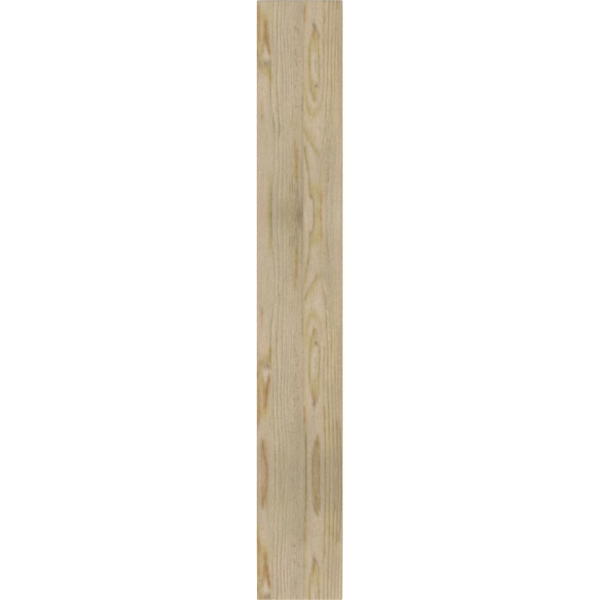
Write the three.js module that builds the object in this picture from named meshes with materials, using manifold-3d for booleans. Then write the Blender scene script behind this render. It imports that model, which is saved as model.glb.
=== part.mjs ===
// Outlooker: a timber beam end that projects level from a gable wall and carries the roof
// overhang. It is glued up from two staves laid side by side, and the underside of its
// outer end is cut to a cove between two square fillets.
// Millimetres, +Z up, as it is fixed: flat top up, wall end towards +Y, nose towards -Y.
// The origin is the centre of the wall end.
import * as THREE from "three";
import { mergeVertices } from "three/addons/utils/BufferGeometryUtils.js";
import Module from "manifold-3d";

// Driving dimensions of the timber
const BEAM_LENGTH = 711;
const BEAM_HEIGHT = 152;
const LEFT_STAVE_WIDTH = 55.3;
const RIGHT_STAVE_WIDTH = 46.7;
const ARRIS = 1.5; // flat planed along every outer edge, at 45 degrees

// Driving dimensions of the shaped end, from the nose back to the underside
const UPPER_FILLET_DEPTH = 12;
const UPPER_FILLET_HEIGHT = 8;
const COVE_RADIUS = 74;
const LOWER_FILLET_DEPTH = 10;
const LOWER_FILLET_HEIGHT = 10;
const COVE_DIVISIONS = 12; // three.js makes two segments of each

// Colours of the two staves, pale unfinished pine
const LEFT_STAVE_COLOUR = 0xbaa88a;
const RIGHT_STAVE_COLOUR = 0xbca98a;
const PLANED_ROUGHNESS = 0.75;

// Places worked out from the driving dimensions
const beamWidth = LEFT_STAVE_WIDTH + RIGHT_STAVE_WIDTH;
const seamX = LEFT_STAVE_WIDTH - beamWidth / 2;
const topZ = BEAM_HEIGHT / 2;
const bottomZ = -BEAM_HEIGHT / 2;
const wallY = 0;
const noseY = wallY - BEAM_LENGTH;
const lowerFilletTopZ = bottomZ + LOWER_FILLET_HEIGHT;
const coveTopZ = lowerFilletTopZ + COVE_RADIUS;
const noseBottomZ = coveTopZ + UPPER_FILLET_HEIGHT;
const coveFrontY = noseY + UPPER_FILLET_DEPTH;
const coveBackY = coveFrontY + COVE_RADIUS;
const undersideFrontY = coveBackY + LOWER_FILLET_DEPTH;

// The beam's side profile, drawn in Y and Z, with the arris taken off each outer corner.
function sideProfile() {
  const arrisAngle = ARRIS / COVE_RADIUS;
  const profile = new THREE.Shape();
  profile.moveTo(wallY - ARRIS, bottomZ);
  profile.lineTo(wallY, bottomZ + ARRIS);
  profile.lineTo(wallY, topZ - ARRIS);
  profile.lineTo(wallY - ARRIS, topZ);
  profile.lineTo(noseY + ARRIS, topZ);
  profile.lineTo(noseY, topZ - ARRIS);
  profile.lineTo(noseY, noseBottomZ + ARRIS);
  profile.lineTo(noseY + ARRIS, noseBottomZ);
  profile.lineTo(coveFrontY, noseBottomZ);
  profile.lineTo(coveFrontY, coveTopZ + ARRIS);
  profile.absarc(
    coveFrontY,
    lowerFilletTopZ,
    COVE_RADIUS,
    Math.PI / 2 - arrisAngle,
    arrisAngle,
    true,
  );
  profile.lineTo(coveBackY + ARRIS, lowerFilletTopZ);
  profile.lineTo(undersideFrontY, lowerFilletTopZ);
  profile.lineTo(undersideFrontY, bottomZ + ARRIS);
  profile.lineTo(undersideFrontY + ARRIS, bottomZ);
  profile.closePath();
  return profile;
}

// The whole beam before it is parted: the side profile run across the width, with the
// arris along both side faces.
function beamGeometry() {
  const geometry = new THREE.ExtrudeGeometry(sideProfile(), {
    depth: beamWidth - 2 * ARRIS,
    steps: 1,
    curveSegments: COVE_DIVISIONS,
    bevelEnabled: true,
    bevelThickness: ARRIS,
    bevelSize: ARRIS,
    bevelOffset: -ARRIS,
    bevelSegments: 1,
  });
  geometry.translate(0, 0, ARRIS - beamWidth / 2);
  const profileToBeam = new THREE.Matrix4().makeBasis(
    new THREE.Vector3(0, 1, 0),
    new THREE.Vector3(0, 0, 1),
    new THREE.Vector3(1, 0, 0),
  );
  return geometry.applyMatrix4(profileToBeam);
}

// The space that one stave fills, from the seam outwards to its side of the beam, with
// room to spare everywhere but at the seam.
function staveSpace(staveWidth, side) {
  const spare = ARRIS;
  const geometry = new THREE.BoxGeometry(
    staveWidth + spare,
    BEAM_LENGTH + 2 * spare,
    BEAM_HEIGHT + 2 * spare,
  );
  return geometry.translate(
    seamX + (side * (staveWidth + spare)) / 2,
    (wallY + noseY) / 2,
    (topZ + bottomZ) / 2,
  );
}

const wasm = await Module();
wasm.setup();

// A closed geometry as a solid that can be cut.
function solidOf(geometry) {
  const bare = geometry.clone();
  bare.deleteAttribute("normal");
  bare.deleteAttribute("uv");
  const merged = mergeVertices(bare);
  return new wasm.Manifold(
    new wasm.Mesh({
      numProp: 3,
      vertProperties: merged.attributes.position.array,
      triVerts: new Uint32Array(merged.index.array),
    }),
  );
}

// A solid as a geometry that can be drawn.
function geometryOf(solid) {
  const { vertProperties, triVerts } = solid.getMesh();
  const geometry = new THREE.BufferGeometry();
  geometry.setAttribute(
    "position",
    new THREE.BufferAttribute(vertProperties, 3),
  );
  geometry.setIndex(new THREE.BufferAttribute(triVerts, 1));
  geometry.computeVertexNormals();
  return geometry;
}

// One stave: the part of the beam on its own side of the seam.
function stave(name, beam, staveWidth, side, colour) {
  const solid = beam.intersect(solidOf(staveSpace(staveWidth, side)));
  const material = new THREE.MeshStandardMaterial({
    color: colour,
    roughness: PLANED_ROUGHNESS,
    metalness: 0,
    flatShading: true,
  });
  const mesh = new THREE.Mesh(geometryOf(solid), material);
  mesh.name = name;
  return mesh;
}

const beam = solidOf(beamGeometry());
const outlooker = new THREE.Group();
outlooker.name = "outlooker";
outlooker.add(
  stave("left_stave", beam, LEFT_STAVE_WIDTH, -1, LEFT_STAVE_COLOUR),
  stave("right_stave", beam, RIGHT_STAVE_WIDTH, 1, RIGHT_STAVE_COLOUR),
);

export default outlooker;
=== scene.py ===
# Outlooker: a timber beam end glued up from two pine staves, lying level with its flat top
# up. Each stave is a fine mesh that carries its growth rings, its stains and a thin line of
# painted shade along its outer edge as smooth values at the vertices, and a node material
# turns those into wood.
import math

import bpy
import numpy as np
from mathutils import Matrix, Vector
from mathutils.geometry import delaunay_2d_cdt


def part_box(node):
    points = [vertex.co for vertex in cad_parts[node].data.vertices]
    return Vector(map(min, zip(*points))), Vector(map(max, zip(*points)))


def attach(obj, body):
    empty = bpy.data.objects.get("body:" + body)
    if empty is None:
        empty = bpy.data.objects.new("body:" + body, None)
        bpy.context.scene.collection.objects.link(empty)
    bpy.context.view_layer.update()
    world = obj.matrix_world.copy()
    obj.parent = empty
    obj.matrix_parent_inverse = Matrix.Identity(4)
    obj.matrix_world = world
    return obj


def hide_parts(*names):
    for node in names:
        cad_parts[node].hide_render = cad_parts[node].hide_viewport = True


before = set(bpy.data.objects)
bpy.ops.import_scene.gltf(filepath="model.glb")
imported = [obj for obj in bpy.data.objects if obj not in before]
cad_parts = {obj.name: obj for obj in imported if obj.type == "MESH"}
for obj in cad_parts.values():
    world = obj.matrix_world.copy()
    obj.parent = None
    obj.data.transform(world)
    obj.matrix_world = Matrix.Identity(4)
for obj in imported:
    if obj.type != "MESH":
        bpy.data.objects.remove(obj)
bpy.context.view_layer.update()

MM = 0.001

# Driving dimensions of the shaped end, the same as in the CAD source, in millimetres
UPPER_FILLET_DEPTH = 12.0
UPPER_FILLET_HEIGHT = 8.0
COVE_RADIUS = 74.0
LOWER_FILLET_DEPTH = 10.0
LOWER_FILLET_HEIGHT = 10.0

# Eased edges in millimetres: along the outer sides, along the seam, and round the outer
# corners of the side profile, where the radius has to be more than the arris
ARRIS = 1.5
SEAM_EASE = 0.25
CORNER_RADIUS = 1.8
ARRIS_STEPS = 4
SEAM_STEPS = 2
CORNER_STEPS = 4

# Mesh spacings in millimetres
TOP_STEP = 1.7
UNDERSIDE_STEP = 4.0
END_STEP = 1.5
COVE_STEP = 1.8
ACROSS_STEP = 0.8
SIDE_GRID = 2.6
SEAM_GRID = 12.0

# Points of the cove that its rounded corner takes up at each end
COVE_TRIM = 3

# The grid of points in a side, as shares of its spacing: where it starts and stops, and how
# far it keeps from the edge
GRID_START = 0.7
GRID_STOP = 0.4
GRID_CLEARANCE = 0.55
TOUCHING = 1e-5

# Least cosine that stretches a corner of a loop moved inwards, and a number too small to show
LEAST_COSINE = 0.5
TINY = 1e-9

# Edges sharper than this aren't shaded smooth
SHARP_ANGLE = math.radians(50)

# Where the beam lies, in millimetres, read from the frame
left_low, left_high = [np.array(corner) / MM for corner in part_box("left_stave")]
WALL_Y = left_high[1]
NOSE_Y = left_low[1]
TOP_Z = left_high[2]
BOTTOM_Z = left_low[2]

# The figure on the top comes again along the beam: turned end for end about the first
# distance, and its first part the right way round after the second. In millimetres.
TURN = 254.2
REPEAT = 632.0
REPEATED = 95.0

# Growth rings deep in the wood: circles about a pith that wanders along the beam
RING_WIDTH = 3.9
FIRST_RING = 5.1
PITH_DEPTH = 9.0
LEFT_PITH_X = -42.0
RIGHT_PITH_X = 17.5

# Depths below the top, in millimetres, where the drawn figure and the stains have faded to
# about a third, and where the figure is gone
FIGURE_DEPTH = 22.0
STAIN_DEPTH = 7.0
FIGURE_GONE = 88.0

# Slow waves: height, length for each radian, share of the pith's place, and start
PITH_SWAY = [(2.6, 83, 1, 0), (1.4, 37, 0, 1.3)]
PITH_DIP = [(3.4, 118, 0.6, 0), (1.3, 43, 0, 2)]
GOOD_YEARS = [(0.30, 7.3, 0, 0.8), (0.16, 3.7, 0, 2)]

# A stain is softer along the grain than across it, and fades out at this rate
STAIN_ALONG = 0.45
STAIN_FADE = 0.9
FAINTEST = 0.01

# Growth rings as they show on the top of each stave: ring number, and then the places that
# the ring passes. A place is a distance across from the beam's centre and one or more along
# from the wall end, in millimetres. The single ones don't come again along the beam.
RIGHT_RINGS = [
    (8.35, (18, 0, 14)),
    (8, (17.2, 27), (15.2, 40), (12.4, 52), (10.5, 62), (10.7, 75), (11.2, 86), (11.7, 94), (13.2, 106),
        (16.6, 117)),
    (8, (20.5, 36), (23.2, 48), (23.4, 62), (24.4, 78), (24.8, 93), (22.6, 108)),
    (7.45, (17.5, 60, 80)),
    (7.6, (17.5, 98)),
    (9, (5.8, 0), (5.7, 25), (5, 40), (4.5, 60), (4.4, 90)),
    (9, (5, 103), (6.5, 114), (8.6, 125), (10.8, 134), (15, 140), (20, 138), (23.4, 132), (27.4, 121)),
    (9, (29, 107), (30.4, 92), (29.6, 78), (29.9, 64), (29.5, 50), (29.2, 36), (30.4, 20), (30.9, 0)),
    (8.4, (17, 126)),
    (9.35, (17, 150)),
    (10, (5, 151), (8, 158), (11, 166), (14.2, 171), (17.6, 178), (20.4, 184), (24, 186)),
    (10, (27, 181), (28.6, 172), (29.6, 164), (31.4, 150), (32.6, 135), (33, 121), (33.8, 107), (34.4, 92),
        (34.3, 70), (34.6, 45), (35.6, 28), (36.2, 0)),
    (10.45, (24, 205)),
    (11, (5.4, 175), (6.6, 184), (8.6, 192), (10.4, 203), (11, 212), (11.7, 222), (12.6, 230), (16.2, 237),
        (16.9, 246), (16.7, 254)),
    (11, (25.6, 254), (25.4, 240), (25.9, 222), (26.2, 206), (27, 194), (31.6, 178), (34, 164), (36.4, 140),
        (38.6, 122), (38.9, 100), (38.8, 64), (39.4, 48), (40.2, 34), (40.9, 0)),
    (10.55, (21, 240, 254)),
    (11.45, (8, 215), (9, 235), (9.5, 254)),
    (12, (33.2, 254), (33, 238), (34.6, 215), (34.4, 200), (34.6, 184), (37.8, 166), (41, 138), (42.4, 110),
        (42.5, 78), (42.7, 64), (43.5, 45), (44.2, 30), (44.8, 0)),
    (13, (40, 254), (40.5, 222), (42.4, 206), (43.4, 185), (44.6, 150), (45, 135), (45.6, 100), (46.5, 78),
        (46.7, 50), (47.4, 28), (48.4, 0)),
    (14, (44.5, 254), (46, 225), (47.5, 200), (49, 150), (50, 80), (51, 30)),
    (15, (49.5, 254), (50, 225)),
]
RIGHT_SINGLE_RINGS = [
    (7.45, (19.5, 545, 580)),
    (7.7, (20.5, 597)),
    (8, (21.5, 515), (18.2, 524), (16, 531), (15.2, 543), (15, 572), (15.3, 588), (17.4, 602), (21.5, 611)),
    (8, (23.6, 523, 540), (23.2, 557, 574), (23.8, 590), (24.6, 601)),
    (9, (6.4, 515), (7.2, 530), (7.4, 550), (7.1, 572), (7.2, 595), (6.5, 614), (5.8, 628)),
    (9, (30.9, 515), (31.3, 530), (31.7, 550), (32, 570), (31.7, 588), (31.4, 604), (31, 620)),
    (10, (36, 515), (36.3, 530), (36.8, 555), (37.2, 572), (36.6, 586), (36.2, 604), (36.1, 622)),
    (11, (40.8, 515), (42, 530), (42.4, 560, 575), (42.1, 600), (41, 614)),
    (12, (45, 515), (45.8, 530), (46.3, 555), (46.7, 575), (46.6, 588), (45.6, 602), (45, 618)),
    (13, (49.6, 515), (50, 550, 590), (49.4, 620)),
]
LEFT_RINGS = [
    (8.4, (-42, 0), (-38, 10)),
    (8, (-40, 21), (-38.8, 36), (-37.4, 48), (-36, 57), (-35, 64)),
    (8, (-42.6, 34), (-44.4, 48), (-46.6, 62), (-48, 74), (-45, 84), (-39.5, 90)),
    (7.4, (-40, 62, 72)),
    (8.9, (-51, 0, 40, 70)),
    (8.3, (-42, 110, 150, 190, 225, 254)),
    (8.3, (-50, 110, 150, 200, 254)),
    (9, (-29.1, 5), (-30.2, 25), (-30.4, 45), (-31.2, 62), (-33.4, 78), (-33.8, 92), (-33.6, 107),
        (-33, 121), (-31.3, 135), (-29.8, 150), (-28.8, 164), (-28.2, 178), (-28.5, 192), (-29.4, 206),
        (-31.6, 219), (-32.6, 235), (-33.1, 254)),
    (10, (-24.2, 0), (-25.2, 20), (-25.7, 36), (-25.4, 50), (-24.6, 62), (-25.6, 78), (-26.1, 92, 107),
        (-24.8, 121), (-24.1, 135), (-23.1, 150), (-23.8, 166), (-23.5, 192), (-23.6, 206), (-24.5, 222),
        (-25.4, 237), (-24.4, 254)),
    (11, (-19.2, 0), (-20.6, 20), (-21.3, 36), (-21.4, 50), (-20.6, 64), (-20, 78), (-19.2, 92, 121),
        (-18.5, 140), (-18.2, 164), (-18.7, 192), (-18.6, 220), (-19.2, 235), (-18.9, 254)),
    (12, (-16.3, 0), (-16.5, 20), (-17.8, 36), (-17.4, 50), (-16.8, 64), (-16.2, 78), (-14.7, 92),
        (-14.6, 107), (-14.5, 150, 254)),
    (13, (-12.4, 0), (-12, 20), (-13.1, 36), (-13.2, 50), (-12.9, 70), (-12.2, 92), (-12, 120),
        (-11.6, 150), (-11.4, 200), (-11, 222), (-11.2, 254)),
    (14, (-9.2, 0), (-10, 36), (-9.6, 50, 78), (-9, 107), (-7.8, 125), (-7.4, 164), (-8.2, 206),
        (-7.6, 254)),
    (15, (-6.4, 0), (-5.2, 36), (-5.6, 60), (-6.2, 85), (-6, 107), (-5, 130), (-4.6, 160, 200),
        (-4.9, 254)),
    (16, (-3.6, 0), (-3, 36), (-3.8, 64), (-3.6, 92, 121), (-2.6, 150), (-2.4, 200), (-2.3, 254)),
    (17, (-0.8, 0), (-0.6, 40), (-1.2, 70), (-0.5, 107), (0, 140), (0.2, 200), (0.4, 254)),
    (18, (2.2, 0), (2, 64), (2.7, 90), (3, 121), (2.7, 180), (2.8, 254)),
    (19, (5.2, 0, 120), (5.4, 254)),
]
LEFT_SINGLE_RINGS = [
    (7.5, (-42, 545, 585)),
    (8, (-43, 523), (-44, 531), (-44.6, 545), (-44.4, 575), (-43.8, 598), (-42, 603)),
    (8, (-42, 526), (-41.2, 540), (-39.5, 553), (-39.1, 572), (-41.2, 586), (-42.2, 596)),
    (8.5, (-41, 512, 615)),
    (8.5, (-49, 530, 600)),
    (9, (-28.4, 515), (-27.4, 530, 560), (-27.3, 572), (-27.5, 590), (-28.2, 612)),
    (10, (-23.8, 515), (-22.8, 530), (-22.2, 545), (-20.8, 558), (-20.6, 572), (-22.4, 586), (-23.2, 600),
        (-23.8, 614)),
    (11, (-18.9, 515), (-18.4, 530), (-17.4, 545), (-16.5, 558), (-16.7, 572), (-17.6, 586), (-18.2, 600),
        (-19, 614)),
    (12, (-14.5, 515, 530), (-13.4, 545), (-12.6, 560), (-13, 575), (-14, 590), (-14.5, 614)),
    (13, (-11, 515), (-10.4, 530), (-9.6, 545), (-10, 575), (-10.2, 600), (-11.6, 620)),
    (14, (-7.4, 530), (-7, 570), (-7.6, 610)),
    (17, (-1.4, 545, 572), (-1.8, 600)),
    (18, (1.9, 545), (2.2, 575)),
]

# Marks on the top of each stave, by kind: strength, half width, and places as above
RIGHT_MARKS = {"bold": [
    (0.9, 1.8, (10.6, 58), (10.7, 75), (11.2, 86), (11.7, 96)), (0.5, 1.8, (22.4, 44), (23.3, 54)),
    (0.9, 1.8, (23.4, 60), (24.4, 78), (24.8, 98)), (0.9, 1.8, (30.9, 0), (30.4, 20), (29.4, 34)),
    (0.7, 1.8, (29.5, 50), (29.9, 64), (29.6, 78), (30.4, 94)), (0.4, 1.8, (28.2, 115), (27.2, 124)),
    (0.9, 1.8, (36.2, 0), (35.4, 28), (34.6, 45), (34.3, 70, 84)), (0.6, 1.8, (34.4, 92), (33.8, 107)),
    (0.9, 1.8, (33, 121), (32.6, 138)), (0.4, 1.8, (31.4, 150), (28.8, 170)), (0.7, 1.8, (40.9, 0, 10)),
    (0.5, 1.8, (39.4, 48), (38.8, 64, 80)), (1, 1.8, (38.8, 90), (38.9, 112)),
    (0.4, 1.8, (38.4, 122), (36.4, 140)), (1, 1.8, (44.8, 0, 10)), (0.4, 1.8, (44.2, 28), (43.5, 48)),
    (0.7, 1.8, (42.7, 60), (42.4, 84)), (0.4, 1.8, (42.4, 94, 110)), (0.9, 1.8, (34.4, 201), (34.6, 213)),
    (0.5, 1.8, (34.8, 218), (33.2, 250)), (0.7, 1.8, (48.4, 0), (48.2, 12)),
    (0.4, 1.8, (47, 30), (46.5, 84)),
], "green": [
    (0.6, 4.8, (38, 128), (38.4, 178)), (0.35, 7, (39, 190, 254)),
], "pink": [
    (0.4, 1.6, (16.4, 59), (16.8, 64)), (0.6, 1.8, (46.6, 0), (46.9, 100), (46.6, 222)),
    (0.35, 1.5, (7.4, 58), (7.6, 110)), (0.5, 2, (47.4, 205, 219)),
], "lilac": [
    (0.7, 2, (7.2, 198), (8, 215), (8.2, 230)), (0.6, 4.6, (10.4, 240, 254)), (0.5, 1.2, (29.2, 238, 254)),
    (0.5, 1.6, (31, 198, 207)), (0.5, 2, (24.5, 134), (26, 139)), (0.5, 2.2, (17, 186, 196)),
    (0.4, 2.2, (16, 207), (16.5, 216)), (0.6, 2.2, (13, 174), (13.6, 184)), (0.7, 1.8, (7.8, 62), (8, 108)),
    (0.6, 2.4, (10.4, 30), (10, 44)),
], "pale": [
    (0.65, 2.2, (15.6, 64), (15.8, 74), (16.8, 88)), (0.25, 1.8, (7.2, 202), (8, 254)),
    (0.4, 1.6, (11.4, 115), (14, 123), (18, 125)), (0.3, 4.5, (46, 230, 254)), (0.3, 8, (18, 146, 156)),
], "olive": [
    (0.6, 1.3, (6.4, 0), (6.2, 7)), (0.45, 0.9, (5.4, 28), (5.1, 42)), (0.65, 3.6, (18, 45), (17.6, 56)),
    (0.6, 1.9, (13.2, 50), (11.4, 60), (10.9, 70)), (0.65, 2, (11.2, 72), (11.6, 90), (12.8, 103)),
    (0.7, 3, (14.8, 101), (16.4, 107), (17.4, 113)),
    (0.5, 1.3, (23.4, 45), (23.6, 70), (23.9, 98), (22.6, 108)),
    (0.6, 1.6, (5.4, 100), (6.5, 112), (8.2, 121)), (0.7, 2.8, (10.4, 128), (12.8, 134), (16, 137)),
    (0.45, 2.4, (17, 135), (22, 131), (26, 124)), (0.55, 3, (10, 158), (13.4, 163), (15.4, 167)),
    (0.5, 2.4, (16, 171), (22, 182), (25, 183)), (0.4, 1.8, (6.4, 176), (8.4, 187), (10.4, 202)),
    (0.75, 2.3, (12.6, 219), (13, 230)), (0.65, 3.4, (16.4, 224), (21, 225), (23.6, 229)),
    (0.5, 3.4, (20.6, 238), (20.8, 254)), (0.7, 1.3, (25.2, 238), (25, 249)),
    (0.5, 1.3, (30, 0), (29.8, 6)), (0.5, 1.2, (29.4, 30, 56)), (0.6, 1, (38.8, 88, 108)),
], "orange": [
    (0.72, 2.1, (17.8, 35), (16.2, 42)), (0.5, 1.9, (16.8, 113), (17, 117)),
    (0.5, 1.5, (25.6, 228), (25.8, 238)), (0.6, 1.4, (25.2, 249), (25, 254)),
    (0.65, 1.1, (30.6, 14), (29.6, 26)),
], "brown": [
    (0.25, 1.6, (17, 35), (14.8, 44)), (0.5, 1.4, (18, 31), (20.4, 35), (22.8, 42)),
    (0.25, 1.3, (12.2, 48), (10.8, 62), (11.2, 90), (13, 105)),
    (0.3, 1, (13.4, 106), (15.6, 115), (18, 119), (21, 114)), (0.2, 1, (24.5, 66), (24.8, 96)),
    (0.25, 0.9, (8.2, 123), (10.3, 131), (11.6, 136)), (0.5, 1.2, (5, 153), (8, 159), (10, 165)),
    (0.4, 1.2, (12.4, 168), (16.4, 175), (20, 181)), (0.5, 1, (6, 175), (6.8, 186), (8.6, 193), (9.6, 200)),
    (0.5, 0.9, (10.4, 203), (11.4, 216)), (0.45, 1.3, (11.8, 220), (12.2, 230)),
    (0.75, 1.1, (13, 232), (14.6, 233.5)), (0.5, 1.3, (16.2, 237), (16.9, 246), (16.7, 254)),
    (0.6, 0.7, (44.8, 0, 9)),
], "dark": [
    (0.5, 1.1, (15.4, 29), (16.4, 30)), (0.35, 1.3, (17, 25), (17.2, 33)),
    (0.9, 1, (18.2, 102.5), (20.6, 101.5)), (0.4, 0.8, (18.8, 72, 84)),
    (0.5, 0.8, (13.5, 143), (13.8, 143.5)), (0.6, 0.8, (9.4, 198), (9.6, 199)),
    (0.5, 0.8, (32.4, 143, 144)), (0.35, 1, (31.4, 149), (31, 158)), (0.4, 0.8, (34.6, 198, 214)),
], "shade": [
    # The thin shade line at the outer edge, all along the top, is painted shade on the eased arris; the
    # other shade marks are the wood's own darker tone.
    (0.6, 1, (49.7, 0, 254)), (0.48, 4, (47, 0, 112)), (0.25, 3, (33, 74, 98)), (0.5, 6, (40, 0, 45)),
    (0.25, 6, (32, 0, 45)), (0.25, 6, (17, 0, 20)), (0.45, 8, (32, 178, 224)), (0.35, 4, (5, 178, 232)),
    (0.4, 2.6, (5.2, 0, 8)), (0.25, 2.6, (4.8, 34, 56)), (0.35, 4, (19, 189), (20, 200)),
    (0.3, 4, (26, 186, 212)),
], "yellow": [
    (0.3, 9, (41, 0, 110)), (0.24, 5, (5, 16, 95)), (0.4, 4, (5, 105, 182)), (0.35, 2.6, (5.4, 186, 240)),
    (0.4, 4, (26, 204, 226)), (0.2, 7, (38, 135, 165)),
], "specked": [
    (0.9, 5, (34, 105, 230)), (0.7, 2.5, (25, 65, 100)),
]}
RIGHT_SINGLE_MARKS = {"bold": [
    (0.9, 1.8, (30.9, 508), (31.7, 550), (32, 570), (31.4, 604), (31, 632)),
    (1, 1.8, (36, 508), (36.8, 555), (37.2, 572), (36.4, 590), (36.1, 632)),
    (0.8, 1.8, (40.8, 508), (42, 532)), (0.9, 1.8, (42, 598), (41, 614), (40.9, 632)),
    (1, 1.8, (45, 508), (45.4, 522)), (0.6, 1.8, (45.8, 530), (46.7, 575), (45.9, 600)),
    (1, 1.8, (45.4, 606), (44.9, 632)), (0.8, 1.6, (49.6, 508), (49.8, 632)),
], "pink": [
    (0.4, 1.8, (46.8, 505, 635)),
], "lilac": [
    (0.5, 1.6, (11.6, 525), (11.4, 560), (11.8, 606)),
    (0.5, 1.4, (26.8, 520, 560), (26.6, 585), (27.6, 600)),
], "olive": [
    (0.5, 1.6, (7.4, 510), (8, 530), (8.2, 570), (7.8, 602)), (0.7, 1.3, (6, 638), (5.6, 668)),
    (0.5, 1.3, (5.6, 670), (5.4, 705)),
    (0.32, 2.9, (20, 526), (17, 542), (16.8, 560), (17, 588), (20, 602)),
    (0.32, 2.9, (21.4, 526), (21.6, 560), (22, 596)), (0.4, 2, (19.6, 584, 596)),
    (0.6, 1.4, (22.2, 603), (21.8, 607)),
    (0.4, 1.4, (30.4, 508), (31.2, 540), (31.4, 575), (30.8, 600), (30.4, 632)),
    (0.35, 1.2, (36, 508), (36.4, 535)), (0.35, 1.2, (36.2, 595, 632)),
], "orange": [
    (0.85, 1.3, (5.9, 9), (5.8, 24)), (0.85, 1.3, (5.8, 484), (5.9, 499)), (0.5, 1.3, (6.2, 614), (6, 638)),
    (0.36, 2.9, (20, 526), (17, 542), (16.8, 560), (17, 588), (20, 602)),
    (0.36, 2.9, (21.4, 526), (21.6, 560), (22, 596)),
], "brown": [
    (0.75, 1.2, (7, 516), (7.4, 550), (7.2, 600)),
    (0.24, 2.9, (20, 526), (17, 542), (16.8, 560), (17, 588), (20, 602)),
    (0.24, 2.9, (21.4, 526), (21.6, 560), (22, 596)),
    (0.45, 0.9, (15.2, 575, 545), (16.6, 529), (18.6, 524)), (0.6, 1.4, (21.4, 524), (21.6, 517)),
    (0.6, 0.9, (15.8, 597), (18.6, 604), (21.6, 610)), (0.5, 0.9, (24.2, 590), (24, 603)),
    (0.2, 1.2, (30.4, 508), (31.2, 540), (31.4, 575), (30.8, 600), (30.4, 632)),
    (0.5, 0.8, (42.2, 598, 604)), (0.26, 9, (43, 550, 576)), (0.14, 5, (28, 552, 574)),
    (0.08, 5, (48, 520, 612)),
], "dark": [
    (0.5, 1.3, (6.6, 603, 616)), (0.5, 0.9, (23.2, 582), (23.1, 560), (23.5, 540)),
    (0.6, 0.9, (19.2, 589, 591)),
], "shade": [
    # The thin shade line at the outer edge is painted shade on the eased arris; the other shade marks are
    # the wood's own darker tone.
    (0.7, 1, (49.7, 500, 640)), (0.6, 7, (5, 514, 626)), (0.4, 8, (14, 520, 620)),
    (0.62, 6, (28, 546, 594)), (0.3, 3, (26, 518, 532)), (0.25, 3, (26, 606, 616)),
    (0.4, 8, (39, 512, 630)), (0.65, 8, (40, 546, 594)), (0.75, 5, (48, 514, 628)),
    (0.65, 8, (5, 556, 578)),
], "yellow": [
    (0.4, 4, (5, 590, 626)), (0.3, 9, (40, 510, 535)), (0.3, 9, (40, 595, 640)),
], "specked": [
    (0.6, 5, (38, 530, 600)),
]}
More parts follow.
